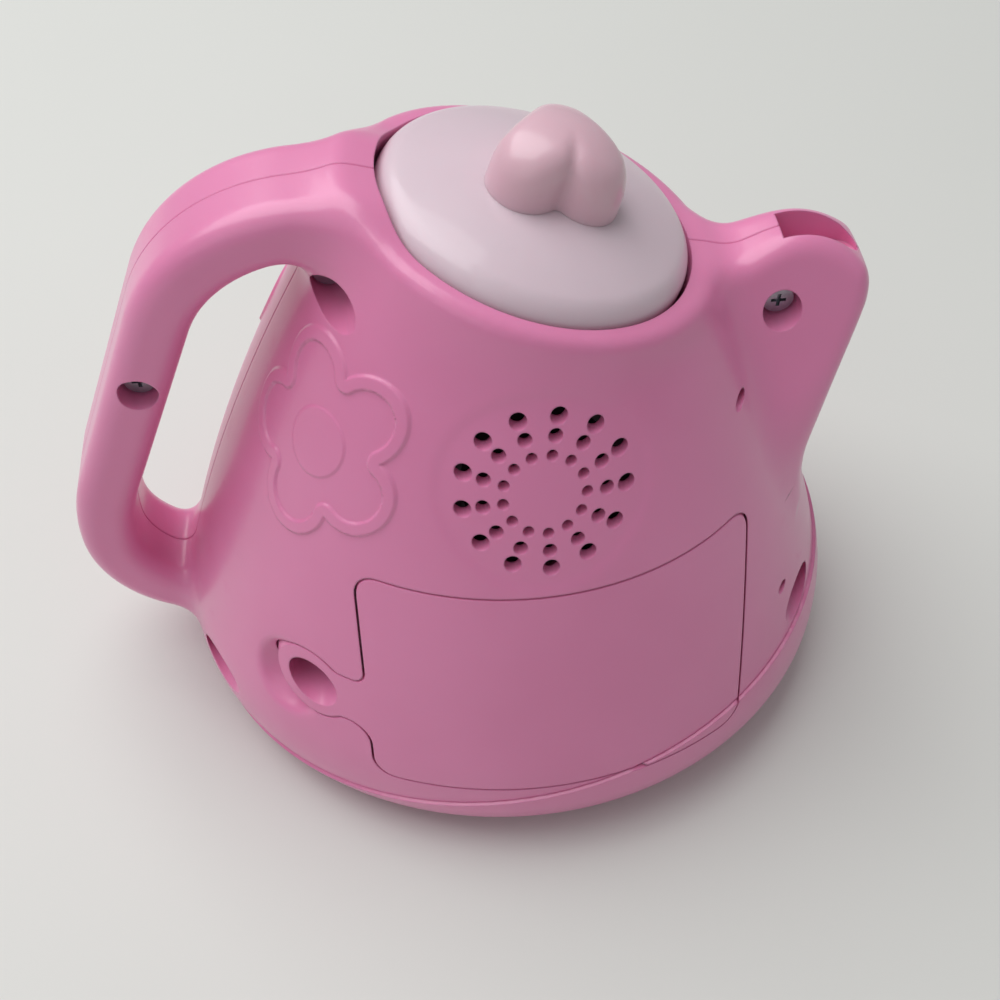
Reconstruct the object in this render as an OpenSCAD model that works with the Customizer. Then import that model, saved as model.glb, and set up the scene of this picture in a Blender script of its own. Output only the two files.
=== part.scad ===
/* [Pot] */
// Width of the pot across its belly, along X
body_w = 135; // [125:1:150]
// Depth of the pot across its belly, along Y
body_d = 124; // [115:1:140]
// Height of the widest level above the table
belly_z = 14; // [13:0.5:15]
// Radius of the turn from the belly down to the rim
rim_turn_r = 14; // [13:0.5:16]
// Radius of the turn from the belly up to the shoulder
belly_turn_r = 40; // [34:1:46]
// Radius of the long shoulder curve
shoulder_r = 375; // [340:5:420]
// Lean of the wall where the shoulder starts, in degrees
shoulder_lean = 17; // [16:0.25:18]
// Wall of the moulded shells
wall = 2.4; // [2:0.1:2.8]
// Height of the foot ring that the pot stands on
foot_h = 3; // [2.5:0.25:3.5]
// Width of the foot ring's flat face
foot_w = 4; // [3:0.5:5]
// Distance from the rim in to the foot ring
foot_inset = 4; // [3:0.5:6]

/* [Base step] */
// Height of the moulded step on the pot's axis
step_z = 17; // [14:0.5:19]
// Slant of the step, rising towards the spout, in degrees
step_tilt = 9; // [6:0.5:11]
// Depth of the step
step_d = 0.8; // [0.4:0.1:1.2]

/* [Lid] */
// Radius of the lid at its edge
lid_r = 27.5; // [25:0.25:28]
// Offset of the lid's centre from the pot's axis, towards the spout
lid_x = 4.5; // [3:0.5:6]
// Height of the lid's edge at its centre
lid_z = 104; // [101:0.5:107]
// Slant of the lid, down towards the spout, in degrees
lid_tilt = 17.2; // [15:0.2:19]
// Height of the lid's dome above its edge
lid_dome = 9; // [7:0.5:11]
// Radius of the round shoulder at the lid's edge
lid_edge_r = 3.5; // [2.5:0.25:4.5]
// Wall of the lid
lid_wall = 2; // [1.6:0.1:2.4]
// Depth of the lid's skirt inside the collar
lid_skirt = 4; // [3:0.25:4]
// Gap round the lid in the collar
lid_gap = 0.6; // [0.4:0.1:0.8]
// Travel of the lid when it is pressed
lid_travel = 3; // [2:0.25:3.5]
// Outer radius of the lid's guide stem
stem_r = 4.6; // [4.2:0.1:5]
// Wall of the collar round the lid
collar_wall = 2.6; // [2.2:0.1:3]
// Depth from the lid's edge to the deck's top
deck_depth = 7.6; // [7.5:0.1:8]
// Thickness of the deck
deck_t = 2; // [1.6:0.1:2.4]

/* [Knob] */
// Radius of each of the knob's two lobes
lobe_r = 6.6; // [5.5:0.1:7]
// Half the distance between the lobes' centres
lobe_spread = 5.4; // [4.5:0.1:6]
// Height of the lobes' centres above the lid's edge
lobe_z = 13; // [12:0.25:14]
// Distance from the lobes to the rounded point
knob_point = 9; // [7:0.5:11]
// Radius of the rounded point
knob_point_r = 4; // [3:0.25:5]
// Radius of the knob's peg
peg_r = 2.8; // [2.4:0.1:3]
// Length of the knob's peg inside the lid's stem
peg_l = 10; // [8:0.5:12]

/* [Handle] */
// Width of the handle, along Y
handle_w = 21; // [18:0.5:24]
// Thickness of the handle's band
handle_t = 11; // [9.5:0.25:12]
// Radius of the handle's rounded edges
handle_edge_r = 4; // [3:0.25:4.5]
// Distance from the pot's axis to the top bend's centre
handle_bend_x = 33; // [31:0.5:36]
// Height of the band's middle at the top bend
handle_top_z = 110.5; // [108:0.5:113]
// Radius of the top bend
handle_top_r = 29; // [26:0.5:32]
// Turn of the top bend, in degrees
handle_top_turn = 67; // [64:0.5:70]
// Length of the straight run
handle_run = 43; // [40:0.5:46]
// Radius of the side bend
handle_side_r = 40; // [36:1:44]
// Radius of the low bend
handle_low_r = 20; // [18:0.5:22]

/* [Spout] */
// Distance from the pot's axis to the spout's tip
spout_tip_x = 65.5; // [62:0.5:70]
// Height of the spout's tip
spout_tip_z = 90; // [86:0.5:93]
// Height at which the spout's underside leaves the wall
spout_root_z = 52; // [48:0.5:56]
// Height of the dip between the collar and the spout
spout_dip_z = 94.5; // [92:0.5:96]
// Rise of the top curve's control point over the dip
spout_crest = 13; // [9:0.5:15]
// Width of the spout at its top, along Y
spout_top_w = 10; // [8:0.5:12]
// Spread of each side face, in millimetres per millimetre of fall
spout_spread_share = 0.42; // [0.3:0.01:0.5]
// Radius of the tip, seen from above
spout_nose_r = 20; // [16:0.5:24]
// Length of the mouth
mouth_l = 15; // [12:0.5:17]
// Width of the mouth
mouth_w = 6.6; // [5:0.2:7]
// Height of the mouth's floor
mouth_floor_z = 92; // [90:0.5:94]

/* [Speaker grille] */
// Offset of the grille from the pot's axis, along X
grille_x = 2; // [-4:0.5:6]
// Height of the grille's centre
grille_z = 80; // [77:0.5:83]
// Rays of holes
grille_rays = 13; // [9:1:15]
// Radius of the outer ring of holes, along the wall
grille_r = 13.7; // [12:0.1:15]
// Radius of the inner ring of holes, along the wall
grille_inner_r = 7; // [6:0.1:8]
// Diameter of the outer holes
grille_hole_d = 2.9; // [2:0.1:3.2]
// Diameter of the inner holes
grille_inner_hole_d = 1.9; // [1.4:0.1:2.2]
// Turn of the pattern, in degrees
grille_turn = 11; // [0:1:27]
// Diameter of the speaker's rim
speaker_d = 32; // [30:0.5:32]

/* [Battery bay] */
// Offset of the door's middle from the pot's axis, along X
door_x = 4.8; // [2:0.2:7]
// Width of the door without its tab
door_w = 70.5; // [68:0.5:74]
// Height of the door
door_h = 42; // [40:0.5:44]
// Height of the door's lower edge
door_z = 20; // [19:0.5:22]
// Radius of the door's corners
door_corner_r = 4; // [2:0.25:6]
// Thickness of the door
door_t = 2.1; // [1.6:0.1:2.1]
// Clearance round the door
door_gap = 0.4; // [0.3:0.05:0.6]
// Distance from the door's edge to the tab's screw
tab_reach = 10; // [9:0.25:11]
// Height of the tab's screw above the door's lower edge
tab_rise = 15.5; // [13:0.5:20]
// Radius of the tab's round end
tab_r = 6.3; // [6:0.1:7]
// Height of the neck that joins the tab to the door
neck_h = 9; // [7:0.5:10]
// Diameter of a battery cell
cell_d = 14.5; // [14:0.1:14.5]
// Length of a battery cell
cell_l = 50.5; // [49:0.5:50.5]
// Clearance between the lowest cell and the door's inner face
cell_clear = 0.4; // [0.3:0.05:0.8]
// Room at the cells' spring end
spring_room = 6; // [5:0.25:6.5]

/* [Fasteners] */
// Diameter of the screws' heads
screw_head_d = 5.4; // [5:0.1:5.8]
// Thickness of the screws' heads
screw_head_h = 2; // [1.6:0.1:2.2]
// Diameter of the screws' shanks
screw_d = 2.6; // [2.2:0.1:2.8]
// Length of the shell screws' shanks
screw_l = 12; // [10:0.5:14]
// Diameter of the screws' recesses
recess_d = 7; // [6.4:0.1:7.4]
// Diameter of the screw posts
post_d = 9.4; // [9:0.1:10]
// Distance from the parting plane to a screw head's seat
screw_seat = 5; // [4:0.25:5.5]

/* [Power switch] */
// Distance from the pot's axis to the slider, towards the front
slider_y = 24; // [18:0.5:30]
// Travel of the slider
slider_travel = 4; // [3:0.25:5]
// Width of the slider's finger block, along its travel
slider_w = 4; // [3:0.25:5]

/* [Hidden] */
$fn = 72;

// Clearance of a screw or peg that is pushed home
push_gap = 0.03;
// Clearance of a sliding fit
run_gap = 0.06;
// Clearance between pieces that are set against each other
seat_gap = 0.1;
// Clearance between a moving piece and its neighbours
free_gap = 0.4;
// Overrun of cuts past the faces that they open
over = 1;
// Reach of the cuts that clear everything outside the pot
far = 2 * body_w;

body_r = body_w / 2;
oval_share = body_d / body_w;
rim_steps = 5;
turn_steps = 4;
shoulder_steps = 9;
body_top = lid_z + lid_r * sin(lid_tilt) + collar_wall + over;

// The pot's outline: a rim turn, a belly turn and a long shoulder, each tangent to the next
turn_c = [body_r - belly_turn_r, belly_z];
shoulder_c = turn_c + (belly_turn_r - shoulder_r) * [cos(shoulder_lean), sin(shoulder_lean)];
function arc_pt(c, r, a) = c + r * [cos(a), sin(a)];
function floor_z(grow) = foot_h - grow;
function rim_angle(grow) = asin((belly_z - floor_z(grow)) / (rim_turn_r + grow));
function top_angle(grow) = asin((body_top - shoulder_c[1]) / (shoulder_r + grow));
function pot_outline(grow) = concat(
    [[0, floor_z(grow)]],
    [for (i = [0:rim_steps])
        arc_pt([body_r - rim_turn_r, belly_z], rim_turn_r + grow, -rim_angle(grow) * (1 - i / rim_steps))],
    [for (i = [1:turn_steps]) arc_pt(turn_c, belly_turn_r + grow, shoulder_lean * i / turn_steps)],
    [for (i = [1:shoulder_steps])
        arc_pt(shoulder_c, shoulder_r + grow,
               shoulder_lean + (top_angle(grow) - shoulder_lean) * i / shoulder_steps)],
    [[0, body_top]]
);
function shoulder_x(z, grow = 0) =
    shoulder_c[0] + sqrt(pow(shoulder_r + grow, 2) - pow(z - shoulder_c[1], 2));
function turn_x(z, grow = 0) = turn_c[0] + sqrt(pow(belly_turn_r + grow, 2) - pow(z - turn_c[1], 2));
function rim_x(z, grow = 0) = body_r - rim_turn_r + sqrt(pow(rim_turn_r + grow, 2) - pow(z - belly_z, 2));
turn_end_z = belly_z + belly_turn_r * sin(shoulder_lean);
function wall_x(z, grow = 0) =
    z < belly_z ? rim_x(z, grow) : z < turn_end_z ? turn_x(z, grow) : shoulder_x(z, grow);
function wall_y(x, z, grow = 0) = oval_share * sqrt(pow(wall_x(z, grow), 2) - x * x);
foot_r = rim_x(foot_h) - foot_inset;

// The handle's middle line: a top bend, a straight run, a side bend and a low bend, each tangent to the next
bend_c = [-handle_bend_x, handle_top_z - handle_top_r];
bend_end = 90 + handle_top_turn;
run_start = arc_pt(bend_c, handle_top_r, bend_end);
run_dir = [-sin(bend_end), cos(bend_end)];
run_end = run_start + handle_run * run_dir;
side_c = run_end - handle_side_r * [cos(bend_end), sin(bend_end)];
low_c = [side_c[0] - handle_side_r + handle_low_r, side_c[1]];
low_turn = 84;
root_turn = 34;
lap = 1;
lap_step = 0.04;
band_steps = 4;
inner_edge_share = 0.8;
gusset_drop = 20;
gusset_w = 8;

// The spout's side outline: a top curve and an underside curve that meet at a blunt tip
tip_blunt = 3;
spout_steps = 8;
dip_x = wall_x(spout_dip_z) - wall / 2;
root_x = wall_x(spout_root_z) - wall / 2;
crest_share = 0.4;
spout_top_z = spout_dip_z + crest_share * spout_crest;
top_shares = [[0, 0], [0.3, 0.05], [0.48, 1]];
under_shares = [[0, 0], [0.1, 0.38], [0.4, 0.7]];
function bezier(p, t) =
    pow(1 - t, 3) * p[0] + 3 * t * pow(1 - t, 2) * p[1] + 3 * t * t * (1 - t) * p[2] + pow(t, 3) * p[3];
function scaled(p, s) = [p[0] * s[0], p[1] * s[1]];
spout_top = concat(
    [for (s = top_shares) [dip_x, spout_dip_z] + scaled([spout_tip_x - dip_x, spout_crest], s)],
    [[spout_tip_x, spout_tip_z]]
);
under_end = [spout_tip_x - tip_blunt / 4, spout_tip_z - tip_blunt];
spout_under = concat(
    [for (s = under_shares) [root_x, spout_root_z] + scaled(under_end - [root_x, spout_root_z], s)],
    [under_end]
);
spout_outline = concat(
    [[lid_x, spout_root_z], [lid_x, spout_dip_z]],
    [for (i = [0:spout_steps]) bezier(spout_top, i / spout_steps)],
    [for (i = [spout_steps:-1:0]) bezier(spout_under, i / spout_steps)]
);
function spout_half_w(z) = spout_top_w / 2 + spout_spread_share * (spout_top_z - z);

// Screw places in the parting plane: handle root, handle, spout, handle foot and right side
run_share = 0.33;
root_screw_in = 3;
root_screw_drop = 2.5;
root_screw_z = lid_z - root_screw_drop;
spout_screw_in = 18;
spout_screw_drop = 2;
foot_screw_in = 7;
foot_screw_z = 18;
side_screw_in = 9;
side_screw_z = 30;
screw_places = [
    [-wall_x(root_screw_z) + root_screw_in, root_screw_z],
    run_start + run_share * handle_run * run_dir,
    [spout_tip_x - spout_screw_in, spout_tip_z - spout_screw_drop],
    [-wall_x(foot_screw_z) + foot_screw_in, foot_screw_z],
    [wall_x(side_screw_z) - side_screw_in, side_screw_z]
];
wall_posts = [0, 3, 4];
band_posts = [1, 2];
band_post_reach = handle_w / 2 - wall / 2;

// The lid's frame: heights run along its tilted axis from the lid's edge
bore_r = lid_r + lid_gap;
collar_r = bore_r + collar_wall;
deck_top = -deck_depth;
deck_bottom = deck_top - deck_t;
deck_lip = 1.2;
collar_lip = 1.6;
deck_r = bore_r + deck_lip;
collar_bottom = deck_bottom - collar_lip;
dome_r = (pow(lid_r - lid_edge_r, 2) + pow(lid_dome - lid_edge_r, 2)) / (2 * (lid_dome - lid_edge_r));
lid_steps = 8;
function dome_z(r, drop = 0) = lid_dome - drop - dome_r + sqrt(pow(dome_r, 2) - r * r);
function lid_outline(t) = concat(
    [for (i = [0:lid_steps]) let (r = (lid_r - lid_edge_r) * i / lid_steps) [r, dome_z(r, t)]],
    [for (i = [1:lid_steps])
        arc_pt([lid_r - lid_edge_r, 0], lid_edge_r - t, 90 - 90 * i / lid_steps)]
);
stem_bottom = deck_bottom - free_gap;
washer_t = 1.2;
washer_r = 7.5;
lid_screw_l = 12;
screw_bore_r = screw_d / 2 + push_gap;
peg_bottom = lid_dome - lid_wall - peg_l;
spring_wire = 0.9;
lid_spring_turns = 6;
lights = 3;
light_place = 17;
light_d = 5;
light_rim = 0.5;
light_h = 4;
bridge_span = 28;
bridge_w = 8;
bridge_t = 1.8;
tact_w = 6;
tact_h = 3.5;
tact_button_r = 1.7;
tact_button_h = 1;
bridge_top = stem_bottom - washer_t - screw_head_h - lid_travel - free_gap - tact_h - tact_button_h;

// The speaker grille's slope, from the wall above and below it
grille_lean = atan(oval_share * (wall_x(grille_z - grille_r) - wall_x(grille_z + grille_r)) / (2 * grille_r));
ring_shares = [1, 0.5, 0];
speaker_depth = 7;
speaker_post_d = 3;
speaker_stays = 4;
speaker_rim = 2.6;
speaker_t = 1.2;
speaker_h = 6;
cone_h = 3.2;
cone_neck_r = 4;
magnet_r = 7.5;
magnet_h = 4;

// The battery bay: the cells lie along X, and each higher one lies further in, along the wall's slope
door_x0 = door_x - door_w / 2;
tab_x = door_x0 - tab_reach;
tab_z = door_z + tab_rise;
cells = 3;
cell_rise = 14;
cell_step = 5.5;
cell_gap = 0.35;
cell_drop = 2.2;
cell_z = door_z + door_h / 2 - cell_rise - cell_drop;
cell_nub = 1;
nub_share = 0.38;
contact_w = 9;
contact_coil_r = 3.2;
contact_wire = 0.7;
contact_turns = 3;
contact_t = 0.5;
bay_l = cell_l + spring_room + 2 * contact_t;
bay_x0 = door_x - bay_l / 2;
cell_end_x = door_x + bay_l / 2 - contact_t - cell_nub;
cell_y = wall_y(cell_end_x, cell_z, -door_t) - cell_d / 2 / cos(shoulder_lean) - cell_clear;
box_wall = 1.6;
box_rim = 3;
box_back_y = cell_y - (cells - 1) * cell_step - cell_d / 2 - cell_gap - box_wall;
tab_well_r = 4.3;
tab_well_d = 9;
tab_floor_t = 1.8;
tab_y = wall_y(tab_x, tab_z) - tab_well_d;
door_screw_l = 8;

// The board stands on two posts on the back of the battery box
board_w = 46;
board_h = 30;
board_t = 1.6;
board_post_l = 5;
board_post_d = 6;
board_screw_l = 5;
board_z = cell_z + (cells - 1) * cell_rise;
board_y = box_back_y - board_post_l;
board_post_x = 18;
chip_r = 7;
chip_h = 2.5;

// The power switch stands on the pot's floor, with its slider down through a slot
switch_h = 6;
switch_wall = 1.2;
slider_d = 4;
slider_drop = 2;
slider_clear = 0.4;
pot_floor = floor_z(-wall);

// The origin is under the middle of the whole object, between the handle's and the belly's outermost points
frame_x = (handle_side_r - side_c[0] + handle_t / 2 - body_r + step_d) / 2;
module in_frame() { translate([frame_x, 0, 0]) children(); }
module upright() { rotate([90, 0, 0]) mirror([0, 0, 1]) children(); }
module rear() { mirror([0, 1, 0]) children(); }
module lid_frame() { translate([lid_x, 0, lid_z]) rotate([0, lid_tilt, 0]) children(); }

// One half of the pot, on the front side of the parting plane
module half_pot(grow) { scale([1, oval_share, 1]) rotate_extrude(angle = 180) polygon(pot_outline(grow)); }
module stepped_pot() {
    half_pot(-step_d);
    intersection() {
        half_pot(0);
        translate([0, 0, step_z]) rotate([0, -step_tilt, 0]) translate([-far / 2, -far / 2, 0]) cube(far);
    }
}
module whole_pot(grow) { scale([1, oval_share, 1]) rotate_extrude() polygon(pot_outline(grow)); }

// Half of the handle's hollow section: an outer and an inner wall, open at the parting plane
function band_wall(t, w, r) = concat(
    [[-t / 2, 0]],
    [for (i = [0:band_steps]) arc_pt([-t / 2 + r, w - r], r, 180 - 90 * i / band_steps)],
    [for (i = [0:band_steps]) arc_pt([t / 2 - r, w - r], r, 90 - 90 * i / band_steps)],
    [[t / 2, 0]]
);
module band_half(thin = 0) {
    inner_t = handle_t - 2 * (wall - thin);
    outer = band_wall(handle_t - 2 * thin, handle_w / 2 - thin, handle_edge_r - thin);
    inner = band_wall(inner_t, handle_w / 2 - wall + thin, inner_edge_share * inner_t / 2);
    polygon(concat(outer, [for (i = [len(inner) - 1:-1:0]) inner[i]]));
}
module band_arc(c, r, from, turn, thin = 0) {
    translate(c) rotate(from) rotate_extrude(angle = turn) translate([r, 0]) band_half(thin);
}
// The handle's half: the straight run and the low bend are a hair thinner and lap into the bends beside them
module half_handle() {
    low_lap = lap / handle_low_r * 180 / PI;
    upright() {
        band_arc(bend_c, handle_top_r, 90 - root_turn, root_turn + handle_top_turn);
        translate(run_end + lap * run_dir) rotate(bend_end) rotate([90, 0, 0])
            linear_extrude(handle_run + 2 * lap) band_half(lap_step);
        band_arc(side_c, handle_side_r, bend_end, 180 - bend_end);
        band_arc(low_c, handle_low_r, 180 - low_lap, low_turn + low_lap, lap_step);
    }
}
// The web that fills the corner under the handle's upper root
module half_gusset() {
    z0 = handle_top_z - gusset_drop;
    upright() linear_extrude(gusset_w) polygon([
        [-wall_x(z0), z0], [-handle_bend_x - handle_t, handle_top_z - handle_t],
        [-handle_bend_x, handle_top_z], [-wall_x(handle_top_z), handle_top_z]
    ]);
}
module half_spout() {
    z0 = spout_root_z - over;
    z1 = spout_top_z + spout_crest;
    intersection() {
        upright() linear_extrude(spout_half_w(z0)) polygon(spout_outline);
        rotate([90, 0, 90]) linear_extrude(spout_tip_x + over)
            polygon([[0, z0], [spout_half_w(z0), z0], [spout_half_w(z1), z1], [0, z1]]);
        translate([0, 0, z0]) linear_extrude(z1 - z0) {
            translate([spout_tip_x - spout_nose_r, 0]) circle(spout_nose_r);
            square([spout_tip_x - spout_nose_r, spout_half_w(z0)]);
        }
    }
}
module half_mouth() {
    x1 = spout_tip_x - tip_blunt;
    r = mouth_w / 2;
    translate([0, 0, mouth_floor_z]) linear_extrude(far) {
        translate([x1 - r, 0]) circle(r);
        translate([x1 - mouth_l, -r]) square([mouth_l - r, mouth_w]);
    }
}
// The room that the lid's deck needs in the wall and posts round it
module deck_room() {
    lid_frame() translate([0, 0, deck_bottom - free_gap])
        cylinder(r = deck_r + free_gap, h = deck_t + 2 * free_gap);
}
module half_posts() {
    difference() {
        intersection() {
            half_pot(-wall / 2);
            upright() for (i = wall_posts) translate(screw_places[i]) cylinder(d = post_d, h = body_d);
        }
        deck_room();
    }
    upright() for (i = band_posts) translate(screw_places[i]) cylinder(d = post_d, h = band_post_reach);
}
module half_collar() {
    lid_frame() rotate_extrude(angle = 180) polygon([
        [bore_r, over], [collar_r, over], [collar_r, collar_bottom], [bore_r - deck_lip, collar_bottom],
        [bore_r - deck_lip, deck_bottom - seat_gap], [deck_r + seat_gap, deck_bottom - seat_gap],
        [deck_r + seat_gap, deck_top + seat_gap], [bore_r, deck_top + seat_gap]
    ]);
}
// Half of the foot ring, trimmed flat on the resting plane
module half_foot() {
    difference() {
        scale([1, oval_share, 1]) rotate_extrude(angle = 180)
            translate([foot_r - foot_w, -over]) square([foot_w, foot_h + wall / 2 + over]);
        translate([-far / 2, -far / 2, -far]) cube(far);
    }
}
module lid_opening() {
    lid_frame() {
        translate([0, 0, deck_top + seat_gap]) cylinder(r = bore_r, h = far);
        cylinder(r = collar_r + over, h = far);
    }
}
// One shell as moulded, before its own holes: pot, handle, spout, collar and screw posts
module half_shell(with_speaker = false) {
    difference() {
        union() {
            difference() {
                union() {
                    stepped_pot();
                    half_handle();
                    half_gusset();
                    half_spout();
                }
                whole_pot(-wall);
                deck_room();
            }
            half_collar();
            half_posts();
            half_foot();
            if (with_speaker) speaker_posts();
        }
        lid_opening();
        half_mouth();
    }
}
module screw_cuts() {
    upright() for (p = screw_places) translate(p) {
        translate([0, 0, -over]) cylinder(r = screw_bore_r, h = screw_seat + 2 * over);
        translate([0, 0, screw_seat]) cylinder(d = recess_d, h = far);
    }
}
module grille_cuts() {
    for (k = [0:len(ring_shares) - 1], i = [0:grille_rays - 1]) {
        a = grille_turn + 360 * i / grille_rays;
        r = grille_inner_r + ring_shares[k] * (grille_r - grille_inner_r);
        d = grille_inner_hole_d + ring_shares[k] * (grille_hole_d - grille_inner_hole_d);
        z = grille_z + r * cos(a) * cos(grille_lean);
        translate([grille_x + r * sin(a), wall_y(grille_x, grille_z) / 2, z])
            rotate([-90, 0, 0]) cylinder(d = d, h = far, $fn = 24);
    }
}
module door_plan(grow) {
    r = door_corner_r + grow;
    w = door_w / 2 - door_corner_r;
    h = door_h / 2 - door_corner_r;
    translate([door_x, door_z + door_h / 2]) {
        for (sx = [-1, 1], sz = [-1, 1]) translate([sx * w, sz * h]) circle(r);
        square([2 * w, 2 * (h + r)], center = true);
        square([2 * (w + r), 2 * h], center = true);
    }
    translate([tab_x, tab_z]) circle(tab_r + grow);
    translate([tab_x, tab_z - neck_h / 2 - grow]) square([tab_reach + door_corner_r, neck_h + 2 * grow]);
}

module rear_shell() {
    color("hotpink") rear() difference() {
        half_shell(with_speaker = true);
        screw_cuts();
        grille_cuts();
        upright() linear_extrude(far) door_plan(door_gap);
    }
}
module front_shell() {
    color("hotpink") difference() {
        half_shell();
        upright() for (p = screw_places) translate([p[0], p[1], -over])
            cylinder(r = screw_bore_r, h = screw_l - screw_seat + 2 * over);
        translate([0, slider_y, 0]) slider_slot();
    }
}
module slider_slot() {
    w = slider_w + slider_travel + 2 * free_gap;
    translate([-slider_w / 2 - free_gap, -slider_d / 2 - free_gap, 0])
        cube([w, slider_d + 2 * free_gap, pot_floor + over]);
}
module lid() {
    color("lavenderblush") lid_frame() rotate_extrude() polygon(concat(
        [for (p = lid_outline(0)) if (p[0] > peg_r + push_gap) p],
        [[lid_r, -lid_skirt], [lid_r - lid_wall, -lid_skirt]],
        [for (i = [lid_steps * 2:-1:0]) let (p = lid_outline(lid_wall)[i]) if (p[0] > stem_r) p],
        [[stem_r, dome_z(stem_r, lid_wall)], [stem_r, stem_bottom], [screw_bore_r, stem_bottom]],
        [[screw_bore_r, peg_bottom - seat_gap], [peg_r + push_gap, peg_bottom - seat_gap]]
    ));
}
module lid_knob() {
    color("pink") lid_frame() {
        difference() {
            for (s = [-1, 1]) hull() {
                translate([s * lobe_spread, -knob_point / 2, lobe_z]) sphere(lobe_r, $fn = 32);
                translate([0, knob_point / 2, lobe_z]) sphere(knob_point_r, $fn = 32);
                translate([s * lobe_spread, -knob_point / 2, 0]) cylinder(r = lobe_r, h = lobe_z, $fn = 32);
                translate([0, knob_point / 2, 0]) cylinder(r = knob_point_r, h = lobe_z, $fn = 32);
            }
            rotate_extrude() polygon(concat([[0, -over]], lid_outline(-seat_gap / 2), [[lid_r, -over]]));
        }
        translate([0, 0, peg_bottom]) difference() {
            cylinder(r = peg_r, h = peg_l + lid_wall + over);
            translate([0, 0, -over]) cylinder(r = screw_bore_r, h = peg_l - lid_wall + over);
        }
    }
}
module screw(l) {
    translate([0, 0, -screw_head_h]) difference() {
        cylinder(d = screw_head_d, h = screw_head_h);
        for (a = [0, 90]) rotate(a)
            cube([screw_head_d / 2, screw_head_d / 8, screw_head_h], center = true);
    }
    cylinder(d = screw_d, h = l);
}
module lid_screw() {
    color("silver") lid_frame() translate([0, 0, stem_bottom - washer_t]) screw(lid_screw_l);
}
module lid_washer() {
    color("gainsboro") lid_frame() translate([0, 0, stem_bottom - washer_t]) difference() {
        cylinder(r = washer_r, h = washer_t);
        translate([0, 0, -over]) cylinder(r = screw_bore_r, h = washer_t + 2 * over);
    }
}
// A round wire coil along Z, closed at both ends
module coil(r, wire, l, turns, steps = 12, sides = 6) {
    n = turns * steps;
    points = [
        for (i = [0:n], k = [0:sides - 1])
            let (a = 360 * i / steps, b = 360 * k / sides, q = r + wire / 2 * cos(b))
            [q * cos(a), q * sin(a), wire / 2 + (l - wire) * i / n + wire / 2 * sin(b)]
    ];
    walls = [
        for (i = [0:n - 1], k = [0:sides - 1])
            let (p = i * sides + k, q = i * sides + (k + 1) % sides)
            each [[p, q, q + sides], [p, q + sides, p + sides]]
    ];
    caps = [for (k = [1:sides - 2]) each [[0, k + 1, k], [n * sides, n * sides + k, n * sides + k + 1]]];
    polyhedron(points, concat(walls, caps));
}
module lid_spring() {
    r = stem_r + spring_wire + free_gap;
    l = dome_z(r + spring_wire, lid_wall) - deck_top - 2 * seat_gap;
    color("silver") lid_frame() translate([0, 0, deck_top + seat_gap])
        coil(r, spring_wire, l, lid_spring_turns);
}
module lid_deck() {
    color("white") lid_frame() translate([0, 0, deck_bottom]) difference() {
        cylinder(r = deck_r, h = deck_t);
        translate([0, 0, -over]) cylinder(r = stem_r + run_gap, h = deck_t + 2 * over);
    }
}
module deck_lights() {
    color("ivory") lid_frame() for (i = [0:lights - 1]) rotate(360 * (i + 0.5) / lights)
        translate([light_place, 0, deck_top]) rotate_extrude() polygon(concat(
            [[0, 0], [light_d / 2 + light_rim, 0], [light_d / 2 + light_rim, light_rim]],
            [[light_d / 2, light_rim]],
            [for (a = [0:15:90]) arc_pt([0, light_rim + light_h], light_d / 2, a)]
        ));
}
module switch_bridge() {
    w = bridge_span / 2;
    outline = [
        [-w, deck_bottom], [-w, bridge_top - bridge_t], [w, bridge_top - bridge_t], [w, deck_bottom],
        [w - bridge_t, deck_bottom], [w - bridge_t, bridge_top], [-w + bridge_t, bridge_top],
        [-w + bridge_t, deck_bottom]
    ];
    color("white") lid_frame() translate([0, bridge_w / 2, 0]) rotate([90, 0, 0])
        linear_extrude(bridge_w) polygon(outline);
}
module lid_switch() {
    color("dimgray") lid_frame() translate([0, 0, bridge_top]) {
        translate([-tact_w / 2, -tact_w / 2, 0]) cube([tact_w, tact_w, tact_h]);
        cylinder(r = tact_button_r, h = tact_h + tact_button_h);
    }
}
module battery_door() {
    color("hotpink") rear() difference() {
        union() {
            intersection() {
                difference() {
                    stepped_pot();
                    whole_pot(-door_t);
                }
                upright() linear_extrude(far) door_plan(0);
            }
            intersection() {
                half_pot(-door_t / 2);
                translate([tab_x, tab_y - tab_floor_t, tab_z]) rotate([-90, 0, 0])
                    cylinder(r = tab_well_r + tab_floor_t / 2, h = far);
            }
        }
        translate([tab_x, tab_y, tab_z]) rotate([-90, 0, 0]) cylinder(r = tab_well_r, h = far);
        translate([tab_x, tab_y + over, tab_z]) rotate([90, 0, 0])
            cylinder(r = screw_bore_r, h = tab_floor_t + 2 * over);
    }
}
module door_screw() {
    color("silver") rear() translate([tab_x, tab_y, tab_z]) rotate([90, 0, 0]) screw(door_screw_l);
}
module shell_screws() {
    color("silver") rear() for (p = screw_places)
        translate([p[0], screw_seat, p[1]]) rotate([90, 0, 0]) screw(screw_l);
}
module cell_at(i) { translate([bay_x0, cell_y - i * cell_step, cell_z + i * cell_rise]) children(); }
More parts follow.
